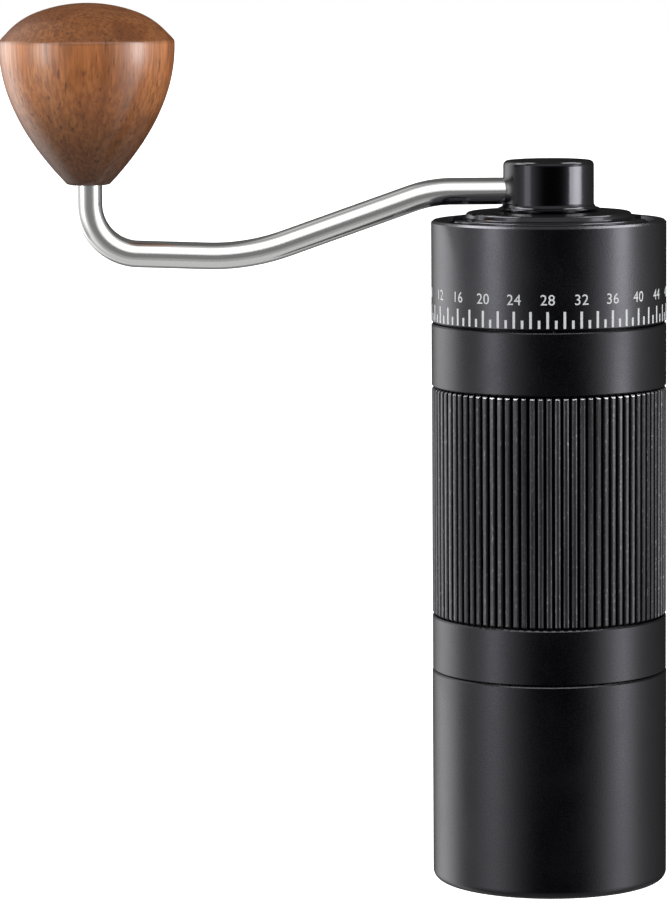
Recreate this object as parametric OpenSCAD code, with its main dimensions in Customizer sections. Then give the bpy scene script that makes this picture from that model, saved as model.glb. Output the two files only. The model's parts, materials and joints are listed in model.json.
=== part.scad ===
// Hand crank coffee grinder with an external grind dial.
// Millimetres. +Z is up and is the crank's axis; z = 0 is the face the catch cup stands on.
// The crank arm points to -X. Every piece is one module and one node.

/* [Body] */
// Outer diameter of the body, grip and dial
body_d = 54; // [54:0.5:58]
// Height of the catch cup, from the table to its seam
cup_h = 49.2; // [44:0.2:64]
// Wall of the catch cup
cup_wall = 1.8; // [1.4:0.1:1.8]
// Smooth band between the cup seam and the grip
lower_band_h = 12.8; // [12.8:0.2:18]
// Height of the ribbed grip
grip_h = 53.2; // [46:0.2:70]
// Smooth band between the grip and the dial
upper_band_h = 14.45; // [14:0.05:20]

/* [Grip] */
// Number of ribs round the grip
grip_ribs = 88; // [60:2:100]
// Depth of the grooves between the ribs
rib_depth = 0.7; // [0.3:0.1:0.8]

/* [Dial] */
// Clicks in one turn of the dial
clicks = 88; // [60:2:100]

/* [Crank] */
// Diameter of the crank's steel rod
arm_d = 6.2; // [5.8:0.1:6.2]
// Distance from the crank's axis to the knob's axis
crank_r = 105.4; // [95:0.1:125]
// Drop from the hub down to the lowest point of the arm
arm_drop = 14.45; // [10:0.05:18]
// Rise of the arm from its lowest point out to the last bend, in degrees
arm_rise = 2; // [0:0.5:8]
// Diameter of the hub that holds the arm
hub_d = 20.8; // [20:0.2:22]

/* [Knob] */
// Largest diameter of the knob
knob_d = 40.2; // [34:0.2:44]
// Height of the knob
knob_h = 41.5; // [38:0.5:48]

/* [Burrs] */
// Flutes cut round each burr's fine zone
burr_teeth = 36; // [24:2:40]

/* [Hidden] */
$fn = 96;
e = 0.01;
r_o = body_d / 2;
L = cup_h;                                   // datum: top of the cup
G0 = L + lower_band_h;                       // foot of the grip
G1 = G0 + grip_h;                            // top of the grip
T = G1 + upper_band_h;                       // datum: shoulder under the dial
r_rec = 25.8;                                // recess that the grip sits in
r_hop = 22.8;                                // hopper bore and neck bore
r_neck = 24.6;                               // neck that the dial turns on
r_arm = arm_d / 2;
z_arm = T + 30.25;                           // rod's axis in the hub
z_low = z_arm - arm_drop;                    // rod's axis on its low stretch
z_knob = T + 32.35;                          // underside of the knob
spokes = [90, 210, 330];                     // arms of both bearing supports
ball_n = 9;                                  // balls in each bearing
ball_r = 1.2;
pitch_r = 6.0;                               // bearing pitch radius
LB = L + 28.3;                               // foot of the lower bearing
UB = T + 9.35;                               // foot of the upper bearing
click_r = 25.55;                             // radius that the click balls sit on

black = [0.07, 0.07, 0.08];
steel = [0.75, 0.75, 0.76];

// ---------- shared shapes ----------

// Points on an arc, for profiles: centre, radius, first and last angle
function arc(c, r, a0, a1, n = 8) =
  [for (i = [0 : n]) let (a = a0 + (a1 - a0) * i / n) [c[0] + r * cos(a), c[1] + r * sin(a)]];

// A turned part, from its profile of [radius, height] points
module turned(profile) { rotate_extrude() polygon(profile); }

// A plain ring between two radii
module ring(r_in, r_out, z0, z1) {
  translate([0, 0, z0]) difference() {
    cylinder(r = r_out, h = z1 - z0);
    translate([0, 0, -1]) cylinder(r = r_in, h = z1 - z0 + 2);
  }
}

// A spring ring with a gap, as a circlip or snap ring has
module split_ring(r_in, r_out, z0, z1, gap) {
  difference() {
    ring(r_in, r_out, z0, z1);
    translate([0, -gap / 2, z0 - 1]) cube([r_out + 1, gap, z1 - z0 + 2]);
  }
}

// A round seal
module o_ring(r_mid, r_cord, z) { translate([0, 0, z]) rotate_extrude() translate([r_mid, 0]) circle(r = r_cord); }

// A coil spring of round wire, as one swept polyhedron
module coil(r_mid, r_wire, z0, z1, turns, sides = 8, steps = 20) {
  n = round(turns * steps);
  h = z1 - z0 - 2 * r_wire;
  pts = [for (i = [0 : n]) for (j = [0 : sides - 1])
    let (a = 360 * turns * i / n, b = 360 * j / sides, r = r_mid + r_wire * cos(b))
    [r * cos(a), r * sin(a), z0 + r_wire + h * i / n + r_wire * sin(b)]];
  faces = concat(
    [[for (j = [0 : sides - 1]) j]],
    [for (i = [0 : n - 1]) for (j = [0 : sides - 1])
      [i * sides + j, (i + 1) * sides + j, (i + 1) * sides + (j + 1) % sides, i * sides + (j + 1) % sides]],
    [[for (j = [sides - 1 : -1 : 0]) n * sides + j]]);
  polyhedron(points = pts, faces = faces, convexity = 10);
}

// A V groove cutter that runs from one point to another
module groove(p, q, r) {
  d = q - p;
  len = norm(d);
  translate(p) rotate([0, acos(d[2] / len), atan2(d[1], d[0])]) cylinder(r = r, h = len, $fn = 4);
}

// ---------- 8 x 16 x 5 ball bearing, foot at z ----------

module outer_race(z) {
  difference() {
    ring(6.9, 8.0, z, z + 5);
    translate([0, 0, z + 2.5]) rotate_extrude() translate([pitch_r, 0]) circle(r = ball_r + 0.03);
    ring(6.0, 7.15, z + 0.25, z + 0.55);
    ring(6.0, 7.15, z + 4.45, z + 4.75);
  }
}

module inner_race(z) {
  difference() {
    ring(4.03, 5.1, z, z + 5);
    translate([0, 0, z + 2.5]) rotate_extrude() translate([pitch_r, 0]) circle(r = ball_r + 0.03);
  }
}

module shields(z) {
  ring(5.25, 7.1, z + 0.3, z + 0.5);
  ring(5.25, 7.1, z + 4.5, z + 4.7);
}

module balls(z) {
  for (i = [0 : ball_n - 1]) rotate([0, 0, 360 * i / ball_n]) translate([pitch_r, 0, z + 2.5]) sphere(r = ball_r);
}

module cage(z) {
  difference() {
    ring(5.7, 6.3, z + 0.75, z + 2.9);
    for (i = [0 : ball_n - 1]) rotate([0, 0, 360 * i / ball_n]) translate([pitch_r, 0, z + 2.5]) sphere(r = ball_r + 0.06);
  }
}

// ---------- catch cup ----------

module catch_cup() {
  ro = r_o + 0.1;
  ri = ro - cup_wall;
  color(black) turned(concat(
    [[0, 0], [ro - 2.0, 0]],
    arc([ro - 2.0, 2.0], 2.0, -80, 0, 8),
    [[ro, L - 0.35], [ro - 0.35, L], [ri + 0.3, L], [ri, L - 0.3]],
    arc([ri - 3, 2.4 + 3], 3, 0, -90, 8),
    [[0, 2.4]]));
}

// ---------- fixed body ----------

module body_shell() {
  color(black) difference() {
    turned([
      [r_o - 0.35, L + 0.1], [r_o, L + 0.45], [r_o, G0 - 0.3], [r_o - 0.3, G0],
      [r_rec, G0], [r_rec, G1], [r_o - 0.3, G1], [r_o, G1 + 0.3], [r_o, T - 0.35], [r_o - 0.35, T],
      [r_neck, T], [r_neck, T + 2.95], [23.7, T + 2.95], [23.7, T + 3.95], [r_neck, T + 3.95],
      [r_neck, T + 11.15], [r_neck - 0.5, T + 11.5], [r_neck - 0.5, T + 11.85], [r_hop, T + 11.85],
      [r_hop, L + 33.8], [24.0, L + 33.8], [24.0, L + 11.8], [25.3, L + 11.8], [25.3, L + 0.1]]);
    // Slots that keep the bearing bridge from turning
    for (a = spokes) rotate([0, 0, a]) translate([20, -2.15, T + 6.75]) cube([8, 4.3, 10]);
    // Pockets for the click balls and their springs
    for (a = [90, 270]) rotate([0, 0, a]) translate([click_r, 0, T - 7]) cylinder(r = 0.82, h = 8);
  }
}

// Ribs run straight up; each has a bevelled crest with a groove beside it
module grip_sleeve() {
  n = grip_ribs;
  step = 360 / n;
  rg = r_o - rib_depth;
  outline = [for (i = [0 : n - 1]) each
    [for (p = [[-0.29, r_o - 0.16], [-0.15, r_o], [0.15, r_o], [0.29, r_o - 0.16], [0.37, rg], [0.63, rg]])
      let (a = (i + p[0]) * step - 88.6) [p[1] * cos(a), p[1] * sin(a)]]];
  color([0.10, 0.10, 0.11]) intersection() {
    difference() {
      translate([0, 0, G0 + 0.15]) linear_extrude(height = grip_h - 0.3) polygon(outline);
      cylinder(r = r_rec + 0.02, h = G1 + 5, $fn = 180);
    }
    turned([
      [0, G0], [r_o - 0.8, G0], [r_o + 0.15, G0 + 0.95], [r_o + 0.15, G1 - 0.95], [r_o - 0.8, G1], [0, G1]]);
  }
}

// Screws up into the body, clamps the burr and the spider, and is the neck the cup pushes onto
module burr_housing() {
  color(steel) turned([
    [21.8, L - 7.3], [22.2, L - 7.7], [24.7, L - 7.7], [25.1, L - 7.3], [25.1, L - 6.7],
    [24.1, L - 6.7], [24.1, L - 4.9], [25.1, L - 4.9], [25.1, L + 0.05], [25.25, L + 0.05],
    [25.25, L + 11.7], [24.05, L + 11.7], [24.05, L - 4.2], [21.8, L - 4.2]]);
}

module cup_o_ring() { color([0.12, 0.12, 0.12]) o_ring(24.7, 0.57, L - 5.8); }

module outer_burr() {
  color(steel) difference() {
    turned([
      [19.9, L - 4.15], [23.98, L - 4.15], [23.98, L + 11.75], [17.6, L + 11.75], [15.22, L + 7.3], [19.62, L - 2.7]]);
    for (i = [0 : burr_teeth - 1]) rotate([0, 0, 360 * i / burr_teeth])
      groove([20.2 * cos(-6), 20.2 * sin(-6), L - 5], [15.3 * cos(6), 15.3 * sin(6), L + 8.2], 0.75);
    for (i = [0 : 5]) rotate([0, 0, 60 * i])
      groove([16.2 * cos(-9), 16.2 * sin(-9), L + 3], [18.6 * cos(9), 18.6 * sin(9), L + 13], 2.2);
    for (a = [0, 180]) rotate([0, 0, a]) translate([21.2, 0, L + 9]) cylinder(r = 1.03, h = 5);
  }
}

// Pins that stop the outer burr turning against the spider
module burr_dowels() {
  color(steel) for (a = [0, 180]) rotate([0, 0, a]) translate([21.2, 0, L + 9.1]) cylinder(r = 1.0, h = 5.2);
}

// Funnel and lower bearing support in one piece
module lower_spider() {
  color([0.62, 0.62, 0.63]) difference() {
    union() {
      turned([[18.1, L + 11.8], [23.97, L + 11.8], [23.97, L + 33.75], [22.9, L + 33.75]]);
      translate([0, 0, L + 26.8]) cylinder(r = 10, h = 8);
      for (a = spokes) rotate([0, 0, a]) translate([8.5, -1.75, L + 27.8]) cube([14.3, 3.5, 5.9]);
    }
    translate([0, 0, L + 26]) cylinder(r = 6.6, h = 10);
    translate([0, 0, LB]) cylinder(r = 8.02, h = 10);
    ring(7, 8.6, L + 33.35, L + 34.15);
    for (a = [0, 180]) rotate([0, 0, a]) translate([21.2, 0, L + 11]) cylinder(r = 1.03, h = 3.5);
  }
}

module lower_bearing_outer_race() { color(steel) outer_race(LB); }
module lower_bearing_shields() { color(steel) shields(LB); }
module lower_bearing_clip() { color(steel) split_ring(7.2, 8.5, L + 33.4, L + 34.1, 4); }
module lower_bearing_inner_race() { color(steel) inner_race(LB); }
module lower_bearing_cage() { color([0.75, 0.62, 0.35]) cage(LB); }
module lower_bearing_balls() { color(steel) balls(LB); }

// Ring between the bearing's inner race and the spring
module spring_cap() { color(steel) ring(4.1, 6.2, L + 27.4, L + 28.25); }

// ---------- dial ----------

module adjust_dial() {
  color(black) turned([
    [r_o - 0.4, T + 0.3], [r_o, T + 0.7], [r_o, T + 23.15], [r_o - 0.5, T + 23.65],
    [24.3, T + 23.65], [23.45, T + 22.8], [23.45, T + 18.65], [24.45, T + 18.65],
    [24.45, T + 11.55], [24.7, T + 11.55], [24.7, T + 4.0], [25.25, T + 4.0], [25.25, T + 2.9],
    [24.7, T + 2.9], [24.7, T + 1.8], [26.35, T + 1.8], [26.35, T + 0.3]]);
}

// Notched ring in the dial's foot that the balls click against
module click_ring() {
  color(steel) difference() {
    ring(24.75, 26.3, T + 0.33, T + 1.75);
    for (i = [0 : clicks - 1]) rotate([0, 0, 90 + 360 * i / clicks])
      translate([24, 0, T + 0.33]) rotate([0, 90, 0]) cylinder(r = 0.32, h = 3, $fn = 4);
  }
}

module click_balls() {
  color(steel) for (a = [90, 270]) rotate([0, 0, a]) translate([click_r, 0, T - 0.47]) sphere(r = 0.75);
}

module click_springs() {
  color(steel) for (a = [90, 270]) rotate([0, 0, a]) translate([click_r, 0, 0])
    coil(0.55, 0.14, T - 6.95, T - 1.3, 7, 6, 12);
}

module dial_snap_ring() { color(steel) rotate([0, 0, 30]) split_ring(23.75, 25.15, T + 3.05, T + 3.85, 3); }

// ---------- bearing bridge: does not turn, rises and falls in the dial's thread ----------

module bearing_bridge() {
  color([0.62, 0.62, 0.63]) difference() {
    union() {
      ring(21.5, 24.38, T + 13.55, T + 16.55);
      translate([0, 0, T + 8.35]) cylinder(r = 10, h = 8.2);
      for (a = spokes) rotate([0, 0, a]) {
        translate([8.5, -2, T + 11.35]) cube([13.8, 4, 5.2]);
        intersection() {
          translate([20, -2, T + 8.9]) cube([5, 4, 4.7]);
          ring(22.95, 24.3, T + 8.9, T + 13.6);
        }
      }
    }
    translate([0, 0, T + 8]) cylinder(r = 6.6, h = 10);
    translate([0, 0, UB]) cylinder(r = 8.02, h = 10);
    ring(7, 8.6, T + 14.4, T + 15.2);
  }
}

module upper_bearing_outer_race() { color(steel) outer_race(UB); }
module upper_bearing_shields() { color(steel) shields(UB); }
module upper_bearing_clip() { color(steel) split_ring(7.2, 8.5, T + 14.45, T + 15.15, 4); }
module upper_bearing_inner_race() { color(steel) inner_race(UB); }
module upper_bearing_cage() { color([0.75, 0.62, 0.35]) cage(UB); }
module upper_bearing_balls() { color(steel) balls(UB); }

// ---------- turning spindle ----------

module drive_shaft() {
  color(steel) difference() {
    union() {
      // Two flats drive the burr; the round part runs in both bearings
      intersection() {
        translate([0, 0, L - 2.4]) cylinder(r = 4.0, h = 19.2);
        translate([-3.3, -5, L - 3]) cube([6.6, 10, 22]);
      }
      translate([0, 0, L + 16.8]) cylinder(r = 4.0, h = T - L - 0.9);
      translate([0, 0, T + 15.9]) cylinder(r = 3.98, h = 10.6, $fn = 6);
    }
    ring(3.4, 6, T + 14.35, T + 15.1);
    translate([0, 0, L - 3]) cylinder(r = 2.5, h = 13);
    // Bevel on the hexagon's end
    translate([0, 0, T + 25.9]) difference() {
      cylinder(r = 6, h = 2);
      translate([0, 0, -0.01]) cylinder(r1 = 4.0, r2 = 2.6, h = 1.4);
    }
  }
}

module shaft_clip() { color(steel) split_ring(3.45, 6.0, T + 14.4, T + 15.05, 2.4); }

module inner_burr() {
  color(steel) difference() {
    turned([
      [0, L - 3.7], [18.6, L - 3.7], [18.9, L - 2.7], [14.5, L + 7.3], [8.2, L + 16.8], [7.2, L + 17.8], [0, L + 17.8]]);
    // Fine flutes
    for (i = [0 : burr_teeth - 1]) rotate([0, 0, 360 * i / burr_teeth])
      groove([19.3 * cos(6), 19.3 * sin(6), L - 4.5], [14.7 * cos(-6), 14.7 * sin(-6), L + 7.6], 0.75);
    // Feed flutes that draw the beans down
    for (i = [0 : 5]) rotate([0, 0, 60 * i])
      groove([17.4 * cos(16), 17.4 * sin(16), L + 1.5], [7.6 * cos(-26), 7.6 * sin(-26), L + 19], 3.4);
    // Bore with two flats, then round
    intersection() {
      translate([0, 0, L - 5]) cylinder(r = 4.05, h = 24);
      union() {
        translate([-3.35, -6, L - 6]) cube([6.7, 12, 22.75]);
        translate([-6, -6, L + 16.7]) cube([12, 12, 6]);
      }
    }
  }
}

module burr_washer() { color(steel) ring(2.6, 8.0, L - 4.5, L - 3.75); }

module burr_screw() {
  color(steel) difference() {
    union() {
      turned(concat([[0, L - 8.0]], [[3.95, L - 8.0], [4.25, L - 7.7], [4.25, L - 4.55], [0, L - 4.55]]));
      translate([0, 0, L - 4.6]) cylinder(r = 2.45, h = 13.5);
    }
    translate([0, 0, L - 9]) cylinder(r = 2.31, h = 3.5, $fn = 6);
  }
}

module spring_seat() { color(steel) ring(4.1, 7.0, L + 17.85, L + 18.6); }
module burr_spring() { color(steel) coil(5.35, 0.5, L + 18.65, L + 27.35, 4.5); }

// ---------- crank, lifts off the hexagon ----------

module crank_hub() {
  rh = hub_d / 2;
  color(black) difference() {
    turned(concat(
      [[0, T + 18.95], [5.7, T + 18.95], [6.0, T + 19.25], [6.0, T + 20.35], [5.3, T + 20.35], [5.3, T + 21.25], [6.0, T + 21.25],
       [6.0, T + 26.65], [9.2, T + 26.65], [9.2, T + 26.18], [rh + 1.15, T + 26.18], [rh + 1.2, T + 26.3]],
      arc([rh + 1.2, T + 27.6], 1.2, 266, 180, 6),
      arc([rh - 1.1, T + 36.15], 1.1, 0, 90, 6),
      [[0, T + 37.25]]));
    // Socket for the steel drive insert
    translate([0, 0, T + 18]) cylinder(r = 4.85, h = 8.6);
    // Hole for the arm, from the left
    translate([-15, 0, z_arm]) rotate([0, 90, 0]) cylinder(r = r_arm + 0.03, h = 21.1);
    // Tapped hole for the set screw, at the back
    translate([0, 0, z_arm]) rotate([-90, 0, 0]) cylinder(r = 2.5, h = 20);
  }
}

module hex_socket() {
  color(steel) difference() {
    translate([0, 0, T + 18.97]) cylinder(r = 4.82, h = 7.55);
    translate([0, 0, T + 18]) cylinder(r = 4.08, h = 12, $fn = 6);
  }
}

module hub_grub_screw() {
  color([0.2, 0.2, 0.2]) difference() {
    translate([0, r_arm + 0.03, z_arm]) rotate([-90, 0, 0]) cylinder(r = 2.45, h = hub_d / 2 - r_arm - 0.5);
    translate([0, hub_d / 2 - 2.4, z_arm]) rotate([-90, 0, 0]) cylinder(r = 1.44, h = 5, $fn = 6);
  }
}

// A bend of the rod in the X-Z plane
module bend(R, from, sweep) {
  rotate([90, 0, 0]) rotate([0, 0, from]) rotate_extrude(angle = sweep) translate([R, 0]) circle(r = r_arm - 0.015);
}

// Round bar: straight, bent down, swept back up a little, then bent upright into the knob
module crank_arm() {
  x1 = -26.9;
  x2 = -68.2;
  a = atan2(arm_drop, x1 - x2);
  g = arm_rise;
  R1 = 28;
  R2 = 50;
  R3 = 11.5;
  t1 = R1 * tan(a / 2);
  t2 = R2 * tan(a / 2);
  slope = norm([x1 - x2, arm_drop]);
  p = [x2 - t2 - R2 * sin(g), z_low + R2 * (1 - cos(g))];  // end of the long sweep
  s = (p[0] + crank_r - R3 * (1 - sin(g))) / cos(g);       // straight on to the last bend
  z3 = p[1] + s * sin(g) + R3 * cos(g);                    // centre of the last bend
  z_end = z_knob + 26.2;
  lap = 0.3;
  color(steel) difference() {
    union() {
      // Straight stretches reach a little way into the bends
      translate([x1 + t1 - lap, 0, z_arm]) rotate([0, 90, 0]) cylinder(r = r_arm, h = 5.9 - x1 - t1 + lap);
      translate([x1 - (t1 - lap) * cos(a), 0, z_arm - (t1 - lap) * sin(a)]) rotate([0, -90 - a, 0])
        cylinder(r = r_arm, h = slope - t1 - t2 + 2 * lap);
      translate([p[0] + lap * cos(g), 0, p[1] - lap * sin(g)]) rotate([0, -90 + g, 0])
        cylinder(r = r_arm, h = s + 2 * lap);
      translate([-crank_r, 0, z3 - lap]) cylinder(r = r_arm, h = z_end - z3 - 0.6 + lap);
      translate([-crank_r, 0, z_end - 0.65]) cylinder(r1 = r_arm - 0.05, r2 = r_arm - 0.6, h = 0.65);
      translate([x1 + t1, 0, z_arm - R1]) bend(R1, 90, a);
      translate([x2 - t2, 0, z_low + R2]) bend(R2, 270 - g, a + g);
      translate([-crank_r + R3, 0, z3]) bend(R3, 180, 90 - g);
    }
    // Groove for the knob's snap ring
    translate([-crank_r, 0, 0]) ring(r_arm - 0.45, r_arm + 1, z_knob + 21.75, z_knob + 22.65);
  }
}

module lid_clip() { color(steel) split_ring(5.4, 8.2, T + 20.45, T + 21.15, 3); }
module lid_washer() { color([0.05, 0.05, 0.05]) ring(6.1, 8.8, T + 26.38, T + 26.62); }
module knob_snap_ring() {
  color(steel) translate([-crank_r, 0, 0]) split_ring(r_arm - 0.4, r_arm + 0.4, z_knob + 21.85, z_knob + 22.55, 1.5);
}

// ---------- lid, stands still under the turning hub ----------

module hopper_lid() {
  color(black) difference() {
    turned(concat(
      [[6.2, T + 26.35], [8.5, T + 26.35], [8.8, T + 26.05], [8.8, T + 25.86], [12.4, T + 25.8], [15.5, T + 25.62]],
      arc([18.3, T + 24.75], 0.7, 80, 5, 5),
      [[19.15, T + 24.35], [19.6, T + 24.2]],
      arc([22.7, T + 23.6], 0.5, 80, 0, 4),
      [[23.2, T + 22.0], [22.3, T + 22.0], [22.3, T + 20.7], [23.2, T + 20.7], [23.2, T + 20.15], [22.9, T + 19.85],
       [21.6, T + 19.85], [21.6, T + 21.6], [18.0, T + 23.6], [12.0, T + 24.0], [9.0, T + 23.5], [9.0, T + 21.3], [6.2, T + 21.3]]));
    // Two finger notches in the ledge
    for (a = [0, 180]) rotate([0, 0, a]) intersection() {
      ring(19.7, 26, T + 22.6, T + 27);
      linear_extrude(height = T + 30) polygon([[0, 0], [30, -11], [30, 11]]);
    }
  }
}

module lid_seal() { color([0.12, 0.12, 0.12]) o_ring(22.86, 0.54, T + 21.35); }

// ---------- knob, turns on the arm's end ----------

// Profile below the widest line, then the rounded edge and the dome
function knob_profile() = let (k = knob_d / 40.2, v = knob_h / 41.5, z = z_knob) concat(
  [[0, z], [4.55 * k, z]],
  [for (i = [14 : -1 : 0]) let (h = 31.7 * i / 14) [(20.1 - h * h / 66.4) * k, z + (31.9 - h) * v]],
  arc([19.2 * k, z + 32.55 * v], 0.9, 0, 45, 4),
  [for (i = [1 : 6]) let (a = 39 + (69.3 - 39) * i / 6) [(5.31 + 17.5 * cos(a)) * k, z + (23.03 + 17.5 * sin(a)) * v]],
  [for (i = [1 : 5]) let (a = 69.3 + (90 - 69.3) * i / 5) [32.5 * cos(a) * k, z + (9.0 + 32.5 * sin(a)) * v]]);

module knob() {
  color([0.45, 0.24, 0.13]) translate([-crank_r, 0, 0]) difference() {
    turned(knob_profile());
    translate([0, 0, z_knob - 1]) cylinder(r = r_arm + 0.3, h = 5);
    translate([0, 0, z_knob + 3]) cylinder(r = 4.6, h = 25);
  }
}

module knob_bush() {
  color([0.75, 0.6, 0.3]) translate([-crank_r, 0, 0]) difference() {
    ring(r_arm + 0.07, 4.56, z_knob + 3.05, z_knob + 27.5);
    ring(r_arm, r_arm + 0.55, z_knob + 21.6, z_knob + 22.8);
  }
}

catch_cup();
body_shell();
grip_sleeve();
burr_housing();
cup_o_ring();
outer_burr();
burr_dowels();
lower_spider();
lower_bearing_outer_race();
lower_bearing_shields();
lower_bearing_clip();
lower_bearing_inner_race();
spring_cap();
lower_bearing_cage();
lower_bearing_balls();
dial_snap_ring();
click_springs();
click_balls();
adjust_dial();
click_ring();
bearing_bridge();
upper_bearing_outer_race();
upper_bearing_shields();
upper_bearing_clip();
upper_bearing_cage();
upper_bearing_balls();
upper_bearing_inner_race();
drive_shaft();
shaft_clip();
inner_burr();
burr_washer();
burr_screw();
spring_seat();
burr_spring();
crank_hub();
hex_socket();
hub_grub_screw();
crank_arm();
lid_clip();
lid_washer();
knob_snap_ring();
hopper_lid();
lid_seal();
knob();
knob_bush();
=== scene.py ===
import json
import math

import bmesh
import bpy
from mathutils import Matrix, Vector


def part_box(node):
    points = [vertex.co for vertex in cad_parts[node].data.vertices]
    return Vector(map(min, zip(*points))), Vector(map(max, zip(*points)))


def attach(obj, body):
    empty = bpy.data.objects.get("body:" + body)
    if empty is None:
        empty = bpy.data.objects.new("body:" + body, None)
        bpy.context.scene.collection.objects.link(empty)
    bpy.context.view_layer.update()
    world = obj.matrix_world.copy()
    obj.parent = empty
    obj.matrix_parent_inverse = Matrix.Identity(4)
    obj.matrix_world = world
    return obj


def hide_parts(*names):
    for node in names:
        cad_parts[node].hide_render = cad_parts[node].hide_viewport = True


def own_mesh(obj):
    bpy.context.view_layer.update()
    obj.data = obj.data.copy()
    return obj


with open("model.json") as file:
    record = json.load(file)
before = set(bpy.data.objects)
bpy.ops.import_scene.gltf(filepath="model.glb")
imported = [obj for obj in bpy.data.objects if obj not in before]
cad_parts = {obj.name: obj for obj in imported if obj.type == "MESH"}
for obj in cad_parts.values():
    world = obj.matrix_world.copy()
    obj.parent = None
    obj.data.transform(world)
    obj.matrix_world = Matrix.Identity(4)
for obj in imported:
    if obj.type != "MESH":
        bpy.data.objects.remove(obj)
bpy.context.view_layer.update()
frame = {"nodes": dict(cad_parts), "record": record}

N = frame["nodes"]
MM = 0.001

# ---- studio panels, in degrees round the object and their brightness; 0 is the camera's side ----
SIDE_PANELS = [(-180, 0.02), (-165, 0.08), (-152, 0.6), (-142, 1.5), (-128, 2.4), (-114, 2.3), (-104, 1.3), (-95, 0.70), (-84, 0.66),
               (-74, 1.05), (-60, 1.45), (-50, 1.25), (-40, 0.72), (-30, 0.32), (-20, 0.085), (-10, 0.012), (11, 0.004),
               (21, 0.010), (31, 0.06), (41, 0.28), (51, 0.90), (63, 1.9), (74, 2.4), (85, 1.7), (95, 0.75),
               (110, 0.34), (125, 0.18), (140, 0.08), (160, 0.03), (180, 0.02)]
PANEL_HEIGHT = [(-90, 0.10), (-55, 0.25), (-30, 0.55), (-14, 1.0), (20, 1.0), (50, 0.45), (90, 0.10)]
OVERHEAD = [(-180, 0.05), (-120, 0.30), (-50, 0.30), (-34, 0.20), (-20, 0.01), (10, 0.01), (24, 0.9), (66, 1.1),
            (80, 0.62), (94, 0.24), (108, 0.12), (131, 0.16), (150, 0.10), (166, 0.02), (180, 0.02)]
SOFT_HEIGHT = [(-90, 0.02), (-45, 0.06), (-20, 0.40), (0, 0.90), (25, 1.0), (55, 0.70), (90, 0.45)]
SOFT_SIDES, SOFT_FILL = 3.4, 0.60
OVERHEAD_ON = [(-90, 1.0), (-30, 1.0), (-18, 0.0), (6, 0.0), (14, 1.0), (90, 1.0)]

# ---- datums, in mm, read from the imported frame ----
CUP_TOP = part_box("catch_cup")[1][2] / MM
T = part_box("adjust_dial")[0][2] / MM - 0.3
R_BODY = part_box("adjust_dial")[1][0] / MM
KX = (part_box("knob")[0][0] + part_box("knob")[1][0]) / 2 / MM
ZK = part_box("knob")[0][2] / MM
KNOB_R = (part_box("knob")[1][0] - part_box("knob")[0][0]) / 2 / MM
KNOB_H = (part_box("knob")[1][2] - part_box("knob")[0][2]) / MM


# =====================================================================
# Materials
# =====================================================================
def new_mat(name):
    m = bpy.data.materials.new(name)
    m.use_nodes = True
    nt = m.node_tree
    b = nt.nodes["Principled BSDF"]
    return m, nt, b


def coords(nt, scale=(1, 1, 1), offset=(0, 0, 0), kind="Object"):
    tc = nt.nodes.new("ShaderNodeTexCoord")
    mp = nt.nodes.new("ShaderNodeMapping")
    mp.inputs["Scale"].default_value = scale
    mp.inputs["Location"].default_value = offset
    nt.links.new(tc.outputs[kind], mp.inputs["Vector"])
    return mp.outputs["Vector"]


def noise(nt, vec, scale, detail=4.0, rough=0.5, distortion=0.0):
    n = nt.nodes.new("ShaderNodeTexNoise")
    n.inputs["Scale"].default_value = scale
    n.inputs["Detail"].default_value = detail
    n.inputs["Roughness"].default_value = rough
    n.inputs["Distortion"].default_value = distortion
    nt.links.new(vec, n.inputs["Vector"])
    return n.outputs["Fac"]


def ramp(nt, fac, stops, interp="LINEAR"):
    r = nt.nodes.new("ShaderNodeValToRGB")
    r.color_ramp.interpolation = interp
    els = r.color_ramp.elements
    while len(els) < len(stops):
        els.new(0.5)
    for el, (p, c) in zip(els, stops):
        el.position = p
        el.color = (c, c, c, 1) if isinstance(c, (int, float)) else (*c, 1)
    nt.links.new(fac, r.inputs["Fac"])
    return r.outputs["Color"]


def span(nt, fac, lo, hi, a=0.0, b=1.0):
    r = nt.nodes.new("ShaderNodeMapRange")
    r.inputs["From Min"].default_value = a
    r.inputs["From Max"].default_value = b
    r.inputs["To Min"].default_value = lo
    r.inputs["To Max"].default_value = hi
    nt.links.new(fac, r.inputs["Value"])
    return r.outputs["Result"]


def mix(nt, fac, a, b, mode="MIX"):
    m = nt.nodes.new("ShaderNodeMix")
    m.data_type = "RGBA"
    m.blend_type = mode
    for sock, v in ((m.inputs["Factor"], fac), (m.inputs["A"], a), (m.inputs["B"], b)):
        if isinstance(v, bpy.types.NodeSocket):
            nt.links.new(v, sock)
        elif isinstance(v, (int, float)):
            sock.default_value = v if sock.type == "VALUE" else (v, v, v, 1)
        else:
            sock.default_value = (*v, 1)
    return m.outputs["Result"]


def maths(nt, op, a, b=0.0):
    m = nt.nodes.new("ShaderNodeMath")
    m.operation = op
    for sock, v in ((m.inputs[0], a), (m.inputs[1], b)):
        if isinstance(v, bpy.types.NodeSocket):
            nt.links.new(v, sock)
        else:
            sock.default_value = v
    return m.outputs["Value"]


def bump(nt, b, height, strength, distance):
    n = nt.nodes.new("ShaderNodeBump")
    n.inputs["Strength"].default_value = strength
    n.inputs["Distance"].default_value = distance
    nt.links.new(height, n.inputs["Height"])
    nt.links.new(n.outputs["Normal"], b.inputs["Normal"])


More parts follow.
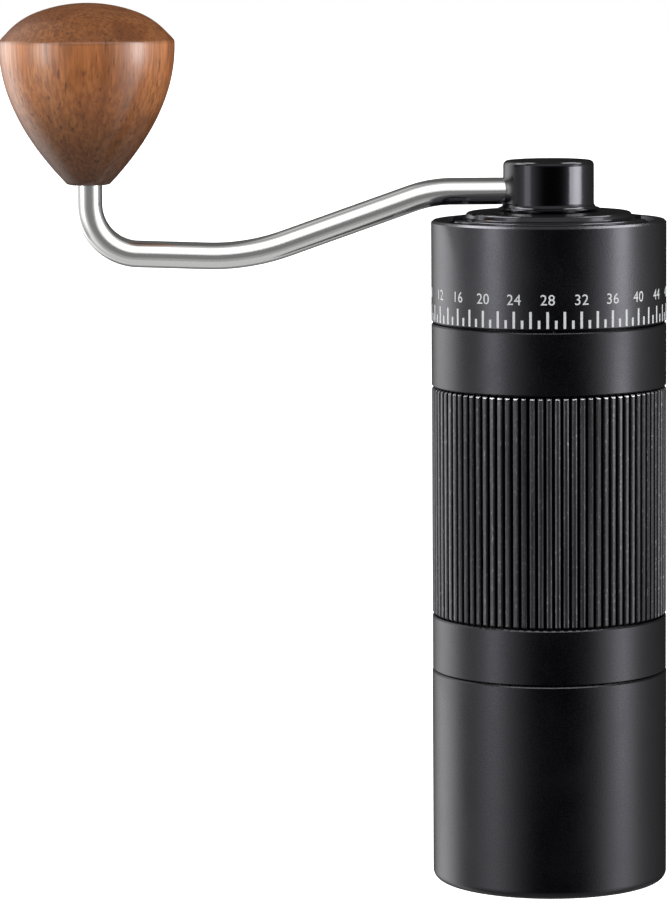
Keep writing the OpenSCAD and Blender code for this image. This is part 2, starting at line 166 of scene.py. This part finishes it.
def anodised(name, lo, hi, rough, spec, grain=2400, depth=0.00004, strength=0.45, wipe=0.05):
    """Bead-blasted, black anodised aluminium: fine grain, faint wiped patches in the gloss."""
    m, nt, b = new_mat(name)
    v = coords(nt)
    fine = noise(nt, v, grain, 3.0, 0.6)
    broad = noise(nt, v, 55, 4.0, 0.55, 0.4)
    nt.links.new(mix(nt, span(nt, fine, 0.0, 1.0, 0.3, 0.7), lo, hi), b.inputs["Base Color"])
    r = maths(nt, "ADD", span(nt, broad, rough - wipe, rough + wipe, 0.3, 0.7), span(nt, fine, -0.03, 0.03, 0.3, 0.7))
    nt.links.new(r, b.inputs["Roughness"])
    b.inputs["Metallic"].default_value = 0.0
    b.inputs["Specular IOR Level"].default_value = spec
    b.inputs["Specular Tint"].default_value = (0.90, 0.893, 1.0, 1)
    bump(nt, b, fine, strength, depth)
    return m


def steel(name, colour, rough, stretch=(1, 1, 1), grain=900, wear=0.06, strength=0.12, kind="Object"):
    """Ground or brushed steel: fine lines along one direction, small changes in gloss."""
    m, nt, b = new_mat(name)
    v = coords(nt, stretch, kind=kind)
    lines = noise(nt, v, grain, 3.0, 0.55)
    broad = noise(nt, coords(nt), 90, 3.0, 0.5)
    dark = tuple(c * 0.86 for c in colour)
    nt.links.new(mix(nt, span(nt, lines, 0, 1, 0.3, 0.7), dark, colour), b.inputs["Base Color"])
    r = maths(nt, "ADD", span(nt, broad, rough - wear / 2, rough + wear / 2, 0.3, 0.7), span(nt, lines, -wear, wear, 0.25, 0.75))
    nt.links.new(r, b.inputs["Roughness"])
    b.inputs["Metallic"].default_value = 1.0
    bump(nt, b, lines, strength, 0.00001)
    return m


def plain(name, lo, hi, rough, grain=1500, spec=0.5, metallic=0.0, strength=0.2, depth=0.00003):
    m, nt, b = new_mat(name)
    f = noise(nt, coords(nt), grain, 4.0, 0.55)
    nt.links.new(mix(nt, span(nt, f, 0, 1, 0.3, 0.7), lo, hi), b.inputs["Base Color"])
    nt.links.new(span(nt, f, rough - 0.05, rough + 0.05, 0.3, 0.7), b.inputs["Roughness"])
    b.inputs["Specular IOR Level"].default_value = spec
    b.inputs["Metallic"].default_value = metallic
    bump(nt, b, f, strength, depth)
    return m


def walnut(name):
    """Turned, stained hardwood: upright grain, short dark pores, satin lacquer."""
    m, nt, b = new_mat(name)
    off = (-KX * MM, 0, -ZK * MM)
    # Broad upright bands, bent by a slow noise
    wide = noise(nt, coords(nt, (1.0, 1.0, 0.16), off), 95, 3.0, 0.55, 1.1)
    # Fine upright fibres
    fibre = noise(nt, coords(nt, (1.0, 1.0, 0.040), off), 1300, 4.0, 0.6, 0.15)
    # Pores: short dark dashes
    pores = noise(nt, coords(nt, (1.0, 1.0, 0.10), (off[0] + 0.013, 0.007, off[2])), 1250, 2.0, 0.5)
    cloud = noise(nt, coords(nt, (1, 1, 0.6), off), 42, 3.0, 0.5)
    base = ramp(nt, wide, [(0.30, (0.470, 0.160, 0.046)), (0.45, (0.640, 0.226, 0.068)),
                           (0.58, (0.710, 0.270, 0.086)), (0.72, (0.530, 0.178, 0.052))])
    c1 = mix(nt, span(nt, fibre, 0.0, 0.62, 0.38, 0.62), base, (0.255, 0.080, 0.026))
    c2 = mix(nt, span(nt, cloud, 0.0, 0.45, 0.48, 0.66), c1, (0.230, 0.076, 0.034))
    dash = ramp(nt, pores, [(0.61, 0.0), (0.68, 1.0)])
    c3 = mix(nt, maths(nt, "MULTIPLY", dash, 0.52), c2, (0.085, 0.028, 0.012))
    # Painted shade: the base colour darkens towards the foot and on the dome, and is brightest just under the widest
    # line
    sp = nt.nodes.new("ShaderNodeSeparateXYZ")
    nt.links.new(coords(nt, (1, 1, 1), off), sp.inputs[0])
    height = span(nt, sp.outputs["Z"], 0.0, 1.0, 0.0, KNOB_H * MM)
    painted_height_shade = ramp(nt, height, [(0.0, 0.17), (0.25, 0.34), (0.50, 0.78), (0.775, 1.0), (0.80, 0.44), (1.0, 0.40)])
    c3 = mix(nt, 1.0, c3, painted_height_shade, "MULTIPLY")
    nt.links.new(c3, b.inputs["Base Color"])
    nt.links.new(maths(nt, "ADD", span(nt, fibre, 0.36, 0.46, 0.3, 0.7), maths(nt, "MULTIPLY", dash, 0.12)), b.inputs["Roughness"])
    b.inputs["Specular IOR Level"].default_value = 0.15
    # Lacquer: full on the belly, rubbed thin on the dome
    lacquer = ramp(nt, height, [(0.0, 0.50), (0.40, 0.58), (0.66, 0.68), (0.735, 1.0), (0.786, 1.0), (0.80, 0.16), (1.0, 0.10)])
    nt.links.new(maths(nt, "MULTIPLY", lacquer, span(nt, cloud, 0.75, 1.0, 0.3, 0.7)), b.inputs["Coat Weight"])
    b.inputs["Coat IOR"].default_value = 1.95
    b.inputs["Coat Roughness"].default_value = 0.24
    h = maths(nt, "SUBTRACT", maths(nt, "MULTIPLY", fibre, 0.35), dash)
    bump(nt, b, h, 0.25, 0.00006)
    return m


def ribbed(name):
    """Milled ribs in black anodised aluminium: painted shade in the groove floors (darker colour, weaker reflection),
    worn a little brighter on some crests.
    """
    m, nt, b = new_mat(name)
    v = coords(nt)
    sp = nt.nodes.new("ShaderNodeSeparateXYZ")
    nt.links.new(v, sp.inputs[0])
    r2 = maths(nt, "ADD", maths(nt, "MULTIPLY", sp.outputs["X"], sp.outputs["X"]), maths(nt, "MULTIPLY", sp.outputs["Y"], sp.outputs["Y"]))
    r = maths(nt, "SQRT", r2)
    # Painted shade: 0 in the groove floors, 1 on the crests; it darkens the base colour and weakens the reflection in
    # the grooves
    depth = span(nt, r, 0.0, 1.0, (R_BODY - 0.62) * MM, (R_BODY - 0.14) * MM)
    fine = noise(nt, v, 2800, 3.0, 0.6)
    streak = noise(nt, coords(nt, (1.0, 1.0, 0.02)), 620, 4.0, 0.62)
    tooling = noise(nt, coords(nt, (1.0, 1.0, 0.03)), 2600, 3.0, 0.6)
    grime = span(nt, streak, 0.0, 1.0, 0.36, 0.62)
    lit = maths(nt, "MULTIPLY", depth, span(nt, grime, 0.45, 1.0))
    # Base colour: near black in the painted groove shade, lighter on the crests and along random streaks
    nt.links.new(mix(nt, maths(nt, "MULTIPLY", lit, fine), (0.0004, 0.0004, 0.0005), (0.030, 0.030, 0.032)), b.inputs["Base Color"])
    nt.links.new(span(nt, tooling, 0.24, 0.44, 0.3, 0.7), b.inputs["Roughness"])
    spark = ramp(nt, noise(nt, coords(nt, (1.0, 1.0, 0.30)), 3300, 2.0, 0.5), [(0.60, 0.0), (0.72, 1.0)])
    # Reflection strength: cut in the groove floors by the same painted shade, raised at random sparks
    nt.links.new(maths(nt, "MULTIPLY", lit, maths(nt, "ADD", 0.80, maths(nt, "MULTIPLY", spark, 1.9))), b.inputs["Specular IOR Level"])
    b.inputs["Specular Tint"].default_value = (0.93, 0.925, 1.0, 1)
    bump(nt, b, maths(nt, "ADD", maths(nt, "MULTIPLY", tooling, 0.8), maths(nt, "MULTIPLY", fine, 0.55)), 0.70, 0.00006)
    return m


BODY_BLACK = anodised("anodised_black", (0.0006, 0.0006, 0.0008), (0.0022, 0.0022, 0.0027), 0.275, 0.53)
DIAL_BLACK = anodised("anodised_dial", (0.0006, 0.0006, 0.0008), (0.0022, 0.0022, 0.0027), 0.255, 0.78)
LID_BLACK = anodised("anodised_lid", (0.0004, 0.0004, 0.0005), (0.0014, 0.0014, 0.0018), 0.16, 0.55, grain=3600, strength=0.07)
HUB_BLACK = anodised("anodised_hub", (0.0004, 0.0004, 0.0005), (0.0014, 0.0014, 0.0018), 0.15, 0.42, grain=3600, strength=0.07)
GRIP_BLACK = ribbed("grip_black")
ROD = steel("rod_stainless", (0.80, 0.80, 0.79), 0.17, (12, 520, 1), 1.0, 0.035, 0.05, kind="UV")
GROUND = steel("ground_steel", (0.60, 0.60, 0.61), 0.26, (1, 1, 6), 420)
BURR = steel("burr_steel", (0.42, 0.42, 0.43), 0.30, (1, 1, 3), 700, 0.08, 0.25)
MACHINED = steel("machined_aluminium", (0.56, 0.57, 0.58), 0.34, (1, 1, 8), 500, 0.08)
BRASS = steel("brass", (0.66, 0.48, 0.22), 0.30, (1, 1, 5), 500)
OXIDE = plain("black_oxide", (0.02, 0.02, 0.022), (0.045, 0.045, 0.048), 0.38, 1800, 0.5, 0.7)
RUBBER = plain("rubber", (0.008, 0.008, 0.008), (0.016, 0.016, 0.016), 0.62, 1400)
NYLON = plain("nylon", (0.010, 0.010, 0.011), (0.018, 0.018, 0.019), 0.48, 900)
PAINT = plain("scale_white", (0.60, 0.61, 0.62), (0.76, 0.77, 0.78), 0.55, 2600, 0.3)
WALNUT = walnut("walnut")

SLOT_MAT = {
    "anodised_black": BODY_BLACK, "grip_black": GRIP_BLACK, "steel": GROUND, "burr_steel": BURR, "arm_steel": ROD,
    "cast_aluminium": MACHINED, "brass": BRASS, "rubber": RUBBER, "black_oxide_steel": OXIDE, "nylon": NYLON, "walnut": WALNUT,
}
SLOT = {s["node"]: s["material_slot"] for s in frame["record"]["subparts"]}
for node_name, obj in N.items():
    mat = SLOT_MAT[SLOT[node_name]]
    if node_name == "hopper_lid":
        mat = LID_BLACK
    elif node_name == "crank_hub":
        mat = HUB_BLACK
    elif node_name == "adjust_dial":
        mat = DIAL_BLACK
    obj.data.materials.clear()
    obj.data.materials.append(mat)


# =====================================================================
# Mesh helpers (all take millimetres)
# =====================================================================
def finish_mesh(name, bm, mat, body, sharp=35.0, replaces=()):
    bmesh.ops.recalc_face_normals(bm, faces=bm.faces)
    me = bpy.data.meshes.new(name)
    bm.to_mesh(me)
    bm.free()
    for p in me.polygons:
        p.use_smooth = True
    me.set_sharp_from_angle(angle=math.radians(sharp))
    o = bpy.data.objects.new(name, me)
    bpy.context.scene.collection.objects.link(o)
    me.materials.append(mat)
    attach(o, body)
    if replaces:
        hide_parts(*replaces)
    return o


def rounded(points, radii, seg=5):
    """A closed profile with its corners rounded."""
    out = []
    n = len(points)
    for i, p in enumerate(points):
        r = radii[i] if isinstance(radii, (list, tuple)) else radii
        a, c = Vector(points[i - 1]), Vector(points[(i + 1) % n])
        q = Vector(p)
        if not r:
            out.append(tuple(q))
            continue
        u, w = (a - q).normalized(), (c - q).normalized()
        ang = math.acos(max(-1, min(1, u.dot(w))))
        t = min(r / math.tan(ang / 2), (a - q).length * 0.49, (c - q).length * 0.49)
        r = t * math.tan(ang / 2)
        ctr = q + (u + w).normalized() * (r / math.sin(ang / 2))
        s, e = q + u * t - ctr, q + w * t - ctr
        a0 = math.atan2(s.y, s.x)
        d = math.atan2(e.y, e.x) - a0
        while d > math.pi:
            d -= 2 * math.pi
        while d < -math.pi:
            d += 2 * math.pi
        for k in range(seg + 1):
            t2 = a0 + d * k / seg
            out.append((ctr.x + r * math.cos(t2), ctr.y + r * math.sin(t2)))
    return out


def lathe(bm, profile, seg=192, cx=0.0, cy=0.0, closed=True):
    """Turns a profile of (radius, height) about a vertical axis. Points at radius 0 become one vertex."""
    rings = []
    for r, z in profile:
        if r < 1e-6:
            rings.append([bm.verts.new((cx * MM, cy * MM, z * MM))])
        else:
            rings.append([bm.verts.new(((cx + r * math.cos(2 * math.pi * i / seg)) * MM,
                                        (cy + r * math.sin(2 * math.pi * i / seg)) * MM, z * MM)) for i in range(seg)])
    pairs = list(zip(rings, rings[1:] + rings[:1])) if closed else list(zip(rings, rings[1:]))
    for a, b in pairs:
        if len(a) == 1 and len(b) == 1:
            continue
        for i in range(seg):
            j = (i + 1) % seg
            if len(a) == 1:
                bm.faces.new((a[0], b[j], b[i]))
            elif len(b) == 1:
                bm.faces.new((a[i], a[j], b[0]))
            else:
                bm.faces.new((a[i], a[j], b[j], b[i]))


# =====================================================================
# Knob: turned wood with a crisp widest line and a low dome
# =====================================================================
def knob_curve():
    k, v = KNOB_R / 20.1, KNOB_H / 41.5
    pts = []
    n = 40
    for i in range(n + 1):  # belly, from the foot up to the widest line
        h = 31.7 * (1 - i / n)
        pts.append(((20.1 - h * h / 66.4) * k, ZK + (31.9 - h) * v))
    for a in range(0, 46, 5):
        t = math.radians(a)
        pts.append(((19.2 + 0.9 * math.cos(t)) * k, ZK + (32.55 + 0.9 * math.sin(t)) * v))
    for i in range(1, 13):
        t = math.radians(39 + (69.3 - 39) * i / 12)
        pts.append(((5.31 + 17.5 * math.cos(t)) * k, ZK + (23.03 + 17.5 * math.sin(t)) * v))
    for i in range(1, 11):
        t = math.radians(69.3 + (90 - 69.3) * i / 10)
        pts.append((32.5 * math.cos(t) * k if i < 10 else 0.0, ZK + (9.0 + 32.5 * math.sin(t)) * v))
    return pts


bm = bmesh.new()
prof = knob_curve()
foot = [(0.0, ZK + 28.0), (4.6, ZK + 28.0), (4.6, ZK + 3.0), (3.4, ZK + 3.0), (3.4, ZK + 0.3), (3.7, ZK), (4.55 - 0.3, ZK)]
lathe(bm, foot + prof, 192, KX, 0.0, closed=False)
finish_mesh("knob_wood", bm, WALNUT, "knob_turning", 38, ("knob",))


# =====================================================================
# Crank arm: one bent round rod
# =====================================================================
def arm_path():
    """Centreline of the rod in the X-Z plane, with its bends as arcs."""
    z_arm, drop, x1, x2 = T + 30.25, ARM_DROP, -26.9, -68.2
    z_low = z_arm - drop
    a, g = math.atan2(drop, x1 - x2), math.radians(2.0)
    r1, r2, r3 = 28.0, 50.0, 11.5
    t1, t2 = r1 * math.tan(a / 2), r2 * math.tan(a / 2)
    pts = [(5.9, z_arm)]
    pts += [(x, z_arm) for x in (4.0, 0.0, -5.0, -10.0, -15.0, -19.0)]
    for i in range(0, 13):
        t = math.radians(90) + a * i / 12
        pts.append((x1 + t1 + r1 * math.cos(t), z_arm - r1 + r1 * math.sin(t)))
    s0 = Vector(pts[-1])
    s1 = Vector((x2 + t2 * math.cos(a), z_low + t2 * math.sin(a)))
    for i in range(1, 6):
        pts.append(tuple(s0.lerp(s1, i / 6)))
    for i in range(0, 33):
        t = math.radians(270) + a - (a + g) * i / 32
        pts.append((x2 - t2 + r2 * math.cos(t), z_low + r2 + r2 * math.sin(t)))
    s0 = Vector(pts[-1])
    run = (s0.x - (KX + r3 * (1 - math.sin(g)))) / math.cos(g)
    s1 = s0 + Vector((-math.cos(g), math.sin(g))) * run
    z3 = s1.y + r3 * math.cos(g)
    for i in range(1, 5):
        pts.append(tuple(s0.lerp(s1, i / 5)))
    for i in range(0, 25):
        t = math.radians(270) - g - (math.radians(90) - g) * i / 24
        pts.append((KX + r3 + r3 * math.cos(t), z3 + r3 * math.sin(t)))
    top = ZK + 26.2
    for i in range(1, 8):
        pts.append((KX, z3 + (top - 0.6 - z3) * i / 7))
    return pts


ARM_R = (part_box("crank_arm")[1][1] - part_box("crank_arm")[0][1]) / 2 / MM
ARM_DROP = (T + 30.25) - (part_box("crank_arm")[0][2] / MM + ARM_R)
bm = bmesh.new()
path = arm_path()
uv = bm.loops.layers.uv.new("along")
SEG = 64
rings, dist = [], []
length = 0.0
for i, (x, z) in enumerate(path):
    a, c = path[max(i - 1, 0)], path[min(i + 1, len(path) - 1)]
    tan = Vector((c[0] - a[0], 0, c[1] - a[1])).normalized()
    side = Vector((0, 1, 0))
    up = tan.cross(side)
    if i:
        length += math.hypot(x - path[i - 1][0], z - path[i - 1][1])
    dist.append(length)
    ring_pts = []
    for j in range(SEG):
        t = 2 * math.pi * j / SEG
        p = Vector((x, 0, z)) + side * (ARM_R * math.cos(t)) + up * (ARM_R * math.sin(t))
        ring_pts.append(bm.verts.new(p * MM))
    rings.append(ring_pts)
for i in range(len(rings) - 1):
    for j in range(SEG):
        k = (j + 1) % SEG
        f = bm.faces.new((rings[i][j], rings[i][k], rings[i + 1][k], rings[i + 1][j]))
        for loop, (u, w) in zip(f.loops, ((i, j), (i, j + 1), (i + 1, j + 1), (i + 1, j))):
            loop[uv].uv = (dist[u] * MM * 100, w / SEG)
# Bevelled ends
for ring_pts, (x, z), d in ((rings[0], path[0], Vector((1, 0, 0))), (rings[-1], path[-1], Vector((0, 0, 1)))):
    inner = [bm.verts.new((Vector((x, 0, z)) + (v.co / MM - Vector((x, 0, z))) * ((ARM_R - 0.6) / ARM_R) + d * (0.0 if d.x else 0.6)) * MM) for v in ring_pts]
    for j in range(SEG):
        k = (j + 1) % SEG
        bm.faces.new((ring_pts[j], ring_pts[k], inner[k], inner[j]))
    bm.faces.new(inner)
finish_mesh("crank_rod", bm, ROD, "crank", 30, ("crank_arm",))


# =====================================================================
# Springs: the same coils, as rigid copies fixed to their bodies
# =====================================================================
def coil(name, node, body):
    """Stands for a CAD spring. The whole copy, foot and coils, stays on its body."""
    o = N[node].copy()
    o.data = N[node].data.copy()
    o.name = o.data.name = name
    for key in [k for k in o.keys() if k.startswith("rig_")]:
        del o[key]
    o.parent = None
    bpy.context.scene.collection.objects.link(o)
    o.data.transform(N[node].matrix_world)
    o.matrix_world = Matrix.Identity(4)
    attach(o, body)
    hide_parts(node)
    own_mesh(o)
    return o


coil("burr_spring_coil", "burr_spring", "spindle")
coil("click_spring_coils", "click_springs", "housing")


# =====================================================================
# Dial scale: graduations and generic numbers, inlaid in white
# =====================================================================
def on_dial(x, z, r):
    """Wraps a flat (x, z) point in mm round the dial; x = 0 faces -Y."""
    a = x / R_BODY - math.pi / 2
    return Vector((r * math.cos(a), r * math.sin(a), z)) * MM


TICKS = 44
LONG_H, SHORT_H, TICK_W = 3.8, 1.85, 0.58
Z_TICK = T + 0.3 + 0.55
Z_NUM = Z_TICK + LONG_H + 1.5
FIRST = math.radians(-3.3) * R_BODY  # a long tick just left of the front
PITCH = 2 * math.pi * R_BODY / TICKS
R_IN, R_OUT = R_BODY - 0.12, R_BODY + 0.03

bm = bmesh.new()


def tick(x, h, w):
    n = 3
    for r, flip in ((R_OUT, False), (R_IN, True)):
        pass
    cols = [x - w / 2 + w * i / n for i in range(n + 1)]
    front = [[bm.verts.new(on_dial(c, zz, R_OUT)) for c in cols] for zz in (Z_TICK, Z_TICK + h)]
    back = [[bm.verts.new(on_dial(c, zz, R_IN)) for c in cols] for zz in (Z_TICK, Z_TICK + h)]
    for i in range(n):
        bm.faces.new((front[0][i], front[0][i + 1], front[1][i + 1], front[1][i]))
        bm.faces.new((back[0][i + 1], back[0][i], back[1][i], back[1][i + 1]))
        bm.faces.new((front[0][i + 1], front[0][i], back[0][i], back[0][i + 1]))
        bm.faces.new((front[1][i], front[1][i + 1], back[1][i + 1], back[1][i]))
    for i in (0, n):
        bm.faces.new((front[0][i], front[1][i], back[1][i], back[0][i]))


for i in range(TICKS):
    tick(FIRST + i * PITCH, LONG_H, TICK_W)
    tick(FIRST + (i + 0.5) * PITCH, SHORT_H, TICK_W)
finish_mesh("dial_graduations", bm, PAINT, "dial", 30)


def number_mesh(text, size):
    cu = bpy.data.curves.new("n" + text, "FONT")
    cu.body = text
    cu.size = size
    cu.align_x = "CENTER"
    cu.align_y = "BOTTOM_BASELINE"
    cu.extrude = 0.05
    cu.resolution_u = 4
    cu.space_character = 1.04
    ob = bpy.data.objects.new("n" + text, cu)
    bpy.context.scene.collection.objects.link(ob)
    bpy.context.view_layer.update()
    dg = bpy.context.evaluated_depsgraph_get()
    me = bpy.data.meshes.new_from_object(ob.evaluated_get(dg))
    bpy.data.objects.remove(ob)
    bpy.data.curves.remove(cu)
    return me


bm = bmesh.new()
for i in range(TICKS // 2):
    me = number_mesh(str(4 * ((i + 7) % (TICKS // 2))), 3.4)
    x0 = FIRST + 2 * i * PITCH
    base = len(bm.verts)
    tmp = bmesh.new()
    tmp.from_mesh(me)
    bmesh.ops.remove_doubles(tmp, verts=tmp.verts, dist=1e-4)
    idx = {}
    for v in tmp.verts:
        r = R_OUT if v.co.z > 0 else R_IN
        idx[v.index] = bm.verts.new(on_dial(x0 + v.co.x, Z_NUM + v.co.y, r))
    for f in tmp.faces:
        try:
            bm.faces.new([idx[v.index] for v in f.verts])
        except ValueError:
            pass
    tmp.free()
    bpy.data.meshes.remove(me)
finish_mesh("dial_numbers", bm, PAINT, "dial", 30)

# =====================================================================
# Stage, light, camera
# =====================================================================
bm = bmesh.new()
bmesh.ops.create_grid(bm, x_segments=8, y_segments=8, size=9.0)
me = bpy.data.meshes.new("floor")
bm.to_mesh(me)
bm.free()
floor = bpy.data.objects.new("floor", me)
floor.location = (0, 0, -0.0305)
bpy.context.scene.collection.objects.link(floor)
fm, nt, b = new_mat("floor_pale")
f = noise(nt, coords(nt), 3.0, 2.0)
nt.links.new(mix(nt, f, (0.84, 0.84, 0.84), (0.88, 0.88, 0.88)), b.inputs["Base Color"])
b.inputs["Roughness"].default_value = 0.8
b.inputs["Specular IOR Level"].default_value = 0.0
b.inputs["Emission Color"].default_value = (1, 1, 1, 1)
b.inputs["Emission Strength"].default_value = 0.62
me.materials.append(fm)
# The floor is only looked at and shaded: it neither mirrors in the object nor lights it from below
floor.visible_glossy = False
floor.visible_diffuse = False
floor.visible_shadow = False

# ---- studio surround: tall soft panels left, right and behind left, a high front panel, black elsewhere ----
world = bpy.data.worlds.new("studio")
bpy.context.scene.world = world
world.use_nodes = True
wt = world.node_tree
bg = wt.nodes["Background"]
tc = wt.nodes.new("ShaderNodeTexCoord")
sep = wt.nodes.new("ShaderNodeSeparateXYZ")
nrm = wt.nodes.new("ShaderNodeVectorMath")
nrm.operation = "NORMALIZE"
wt.links.new(tc.outputs["Generated"], nrm.inputs[0])
wt.links.new(nrm.outputs["Vector"], sep.inputs[0])
X, Y, Z = sep.outputs["X"], sep.outputs["Y"], sep.outputs["Z"]
PI = math.pi
front = maths(wt, "MULTIPLY", Y, -1.0)
azim = span(wt, maths(wt, "ARCTAN2", X, front), 0.0, 1.0, -PI, PI)
over = span(wt, maths(wt, "ARCTAN2", Z, front), 0.0, 1.0, -PI, PI)
elev = span(wt, maths(wt, "ARCSINE", Z), 0.0, 1.0, -PI / 2, PI / 2)


def by_angle(fac, stops, whole):
    """A brightness curve from (degrees, value) stops, where the whole scale is +-whole degrees; values are thirds."""
    return ramp(wt, fac, [((d + whole) / (2 * whole), v / 3.0) for d, v in stops], "LINEAR")


around = by_angle(azim, SIDE_PANELS, 180)
height = by_angle(elev, PANEL_HEIGHT, 90)
arch = by_angle(over, OVERHEAD, 180)
arch_on = by_angle(elev, OVERHEAD_ON, 90)
sides = maths(wt, "MULTIPLY", maths(wt, "MULTIPLY", around, height), 3.0)
roof = maths(wt, "MULTIPLY", maths(wt, "MULTIPLY", arch, arch_on), 3.0)
glow = maths(wt, "MULTIPLY", maths(wt, "MAXIMUM", sides, roof), 3.0)
path_node = wt.nodes.new("ShaderNodeLightPath")
# Matt surfaces are lit by the side panels and from above, hardly from below
soft = by_angle(elev, SOFT_HEIGHT, 90)
fill = maths(wt, "MULTIPLY", maths(wt, "ADD", maths(wt, "MULTIPLY", around, SOFT_SIDES), SOFT_FILL), maths(wt, "MULTIPLY", soft, 3.0))
tint = mix(wt, path_node.outputs["Is Diffuse Ray"], glow, fill)
tint = mix(wt, path_node.outputs["Is Camera Ray"], tint, (1.0, 1.0, 1.0))
wt.links.new(tint, bg.inputs["Color"])
bg.inputs["Strength"].default_value = 1.0


def softbox(name, azimuth, elevation, distance, w, h, power, target=(0, 0, 0.11), colour=(1, 1, 1)):
    """An area light. Azimuth 0 is the camera's side, positive to the right of the picture."""
    a, e = math.radians(azimuth), math.radians(elevation)
    d = Vector((math.sin(a) * math.cos(e), -math.cos(a) * math.cos(e), math.sin(e)))
    li = bpy.data.lights.new(name, "AREA")
    li.shape = "RECTANGLE"
    li.size, li.size_y = w, h
    li.energy = power
    li.color = colour
    o = bpy.data.objects.new(name, li)
    o.location = Vector(target) + d * distance
    o.rotation_euler = (-d).to_track_quat("-Z", "Y").to_euler()
    bpy.context.scene.collection.objects.link(o)
    return o


softbox("box_left", -58, 10, 1.3, 0.40, 1.0, 2.4)
softbox("box_right", 72, 10, 1.3, 0.40, 1.0, 3.2)

# Long panels that only the bright rod mirrors: above and in front, level with it, and under it
rod_only = bpy.data.collections.new("rod_lights")
rod_only.objects.link(bpy.data.objects["crank_rod"])
for name, e, arc_deg, level in (("rod_top", 39, 60, 0.75), ("rod_level", -18, 52, 0.22), ("rod_foot", -80, 66, 0.36)):
    wide, deep = 1.6, 2 * 0.55 * math.tan(math.radians(arc_deg / 2))
    lamp = softbox(name, 0, e, 0.55, wide, deep, level * math.pi * wide * deep, target=(-0.06, 0, 0.15))
    lamp.light_linking.receiver_collection = rod_only

# A narrow strip overhead that picks out the bevels of the black parts
edges_only = bpy.data.collections.new("edge_lights")
for part in ("body_shell", "catch_cup"):
    edges_only.objects.link(N[part])
strip = softbox("edge_strip", 0, 80, 0.6, 1.2, 0.13, 3.6 * math.pi * 1.2 * 0.13, target=(0, 0, 0.12))
strip.light_linking.receiver_collection = edges_only
ribs_only = bpy.data.collections.new("rib_lights")
ribs_only.objects.link(N["grip_sleeve"])
strip = softbox("rib_strip", 0, 82, 0.6, 1.2, 0.16, 40 * math.pi * 1.2 * 0.16, target=(0, 0, 0.10))
strip.light_linking.receiver_collection = ribs_only
for name, a in (("ribs_left", -112), ("ribs_right", 112)):
    lamp = softbox(name, a, 58, 0.6, 0.34, 0.30, 36 * math.pi * 0.34 * 0.30, target=(0, 0, 0.10))
    lamp.light_linking.receiver_collection = ribs_only

# Two small panels above and behind, for the rims of the dial, lid and hub on either side of their dark middle
rim_only = bpy.data.collections.new("rim_lights")
for part in ("adjust_dial", "crank_hub", "hopper_lid"):
    rim_only.objects.link(N[part])
for name, a in (("rim_left", -118), ("rim_right", 118)):
    lamp = softbox(name, a, 56, 0.6, 0.26, 0.30, 7.0 * math.pi * 0.26 * 0.30, target=(0, 0, 0.145))
    lamp.light_linking.receiver_collection = rim_only

# A panel low on the right that only the polished hub's side mirrors; its flat top looks over it
hub_only = bpy.data.collections.new("hub_lights")
hub_only.objects.link(N["crank_hub"])
hub_only.objects.link(N["hub_grub_screw"])
panel = softbox("hub_panel", 70, -10, 1.2, 0.80, 0.64, 8.6 * math.pi * 0.80 * 0.64, target=(0, 0, 0.165))
panel.light_linking.receiver_collection = hub_only

cam_data = bpy.data.cameras.new("camera")
cam = bpy.data.objects.new("camera", cam_data)
bpy.context.scene.collection.objects.link(cam)
cam_data.sensor_width = 36.0
cam_data.lens = 178.2
cam_data.clip_start, cam_data.clip_end = 0.01, 60
cam.location = (-0.0495, -1.021, 0.2211)
cam.rotation_mode = "QUATERNION"
pitch, roll = math.radians(90 - 6.743), math.radians(-0.42)
cam.rotation_quaternion = (Matrix.Rotation(pitch, 3, "X") @ Matrix.Rotation(roll, 3, "Z")).to_quaternion()
bpy.context.scene.camera = cam
bpy.context.scene.view_settings.view_transform = "Standard"
bpy.context.scene.view_settings.look = "None"
